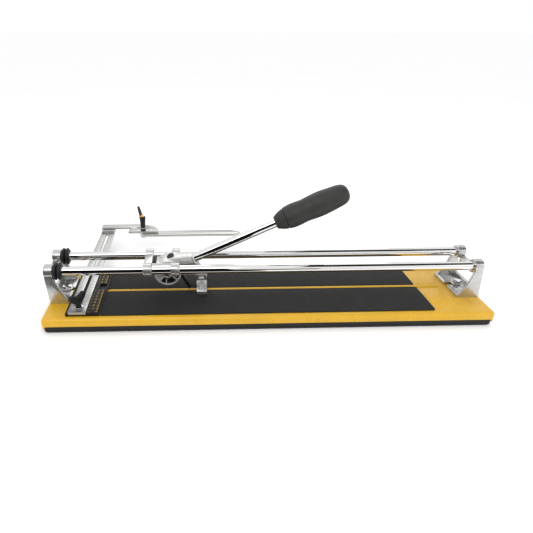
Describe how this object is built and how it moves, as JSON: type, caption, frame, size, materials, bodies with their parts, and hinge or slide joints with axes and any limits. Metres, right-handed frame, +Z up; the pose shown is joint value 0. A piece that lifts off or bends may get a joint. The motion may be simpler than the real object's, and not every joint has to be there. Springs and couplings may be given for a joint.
{
  "type": "tile cutter",
  "caption": "Manual tile cutter: a padded steel base, twin guide rails between end brackets, a sliding carriage with a scoring and breaking lever, and a side gauge with a swivelling fence.",
  "frame": {"origin": "middle of the base's underside, on the surface that the cutter stands on", "axes": "+X along the rails towards the plain end, -X towards the gauge; +Z up; -Y is the front, where the user's tile is fed"},
  "size_m": [0.78, 0.3667, 0.2271],
  "materials": {
    "paint_yellow": "semi-gloss enamel",
    "rubber_black": "moulded matt",
    "pad_rubber": "fine-grained matt",
    "chrome": "polished",
    "cast_metal": "nickel-bright die casting",
    "aluminium": "satin extruded",
    "steel": "zinc-plated",
    "black_steel": "black oxide",
    "black_plastic": "moulded satin",
    "grip_foam": "soft satin",
    "yellow_plastic": "moulded gloss"
  },
  "bodies": {
    "base": {"base_pan": "paint_yellow", "base_sole": "rubber_black", "pad_front": "pad_rubber", "pad_back": "pad_rubber", "bracket_right": "cast_metal", "bracket_bolt_right": "steel", "bracket_washer_right": "steel", "bracket_nut_right": "steel", "rail_screw_right_front": "black_steel", "rail_screw_right_back": "black_steel", "bracket_left": "cast_metal", "bracket_bolt_left": "steel", "bracket_washer_left": "steel", "bracket_nut_left": "steel", "rail_screw_left_front": "black_steel", "rail_screw_left_back": "black_steel", "rail_front": "chrome", "rail_back": "chrome", "bumper_front": "rubber_black", "bumper_back": "rubber_black", "gauge_tray": "black_plastic", "scale_strip": "black_plastic", "tray_screw_front": "steel", "tray_screw_back": "steel", "clamp_stud": "steel", "clamp_washer": "steel"},
    "carriage": {"carriage": "cast_metal", "rail_bush_left_front": "black_plastic", "rail_bush_left_back": "black_plastic", "rail_bush_right_front": "black_plastic", "rail_bush_right_back": "black_plastic", "lever_buffer": "rubber_black", "pivot_pin": "steel", "pivot_nut": "steel"},
    "lever": {"lever_casting": "cast_metal", "handle_rod": "chrome", "grip_collar": "black_plastic", "grip": "grip_foam", "wheel_holder": "black_steel", "holder_nut": "black_steel", "wheel_axle": "steel", "presser_pin": "steel"},
    "scoring_wheel": {"scoring_wheel": "steel"},
    "presser_foot": {"presser_foot": "cast_metal"},
    "gauge_arm": {"slotted_arm": "aluminium", "arm_spacer": "aluminium", "gauge_head": "aluminium", "head_screw_left": "steel", "head_screw_right": "steel", "fence_stud": "steel", "stud_nut": "black_steel"},
    "wing_nut": {"wing_nut": "black_plastic"},
    "fence": {"fence": "aluminium"},
    "clamp_lever": {"clamp_lever": "black_plastic", "lever_washer": "steel", "lever_cap": "yellow_plastic"}
  },
  "joints": [
    {"name": "carriage_slide", "type": "slide", "parent": "base", "child": "carriage", "axis": [1, 0, 0], "range_m": [-0.137, 0.44]},
    {"name": "lever_hinge", "type": "hinge", "parent": "carriage", "child": "lever", "pos_m": [-0.178, 0, 0.0715], "axis": [0, -1, 0], "range_deg": [0, 30]},
    {"name": "wheel_spin", "type": "hinge", "parent": "lever", "child": "scoring_wheel", "pos_m": [-0.13849, 0, 0.03348], "axis": [0, 1, 0], "continuous": true},
    {"name": "foot_rock", "type": "hinge", "parent": "lever", "child": "presser_foot", "pos_m": [-0.117, 0, 0.0575], "axis": [1, 0, 0], "range_deg": [-2, 2]},
    {"name": "arm_slide", "type": "slide", "parent": "base", "child": "gauge_arm", "axis": [0, 1, 0], "range_m": [-0.16, 0]},
    {"name": "wing_nut_turn", "type": "hinge", "parent": "base", "child": "wing_nut", "pos_m": [-0.3294, -0.066, 0.045], "axis": [0, 0, 1], "continuous": true},
    {"name": "fence_swing", "type": "hinge", "parent": "gauge_arm", "child": "fence", "pos_m": [-0.2455, 0.233, 0.039], "axis": [0, 0, 1], "range_deg": [-10, 45]},
    {"name": "clamp_lever_turn", "type": "hinge", "parent": "gauge_arm", "child": "clamp_lever", "pos_m": [-0.2455, 0.233, 0.06], "axis": [0, 0, 1], "range_deg": [-60, 60]}
  ]
}
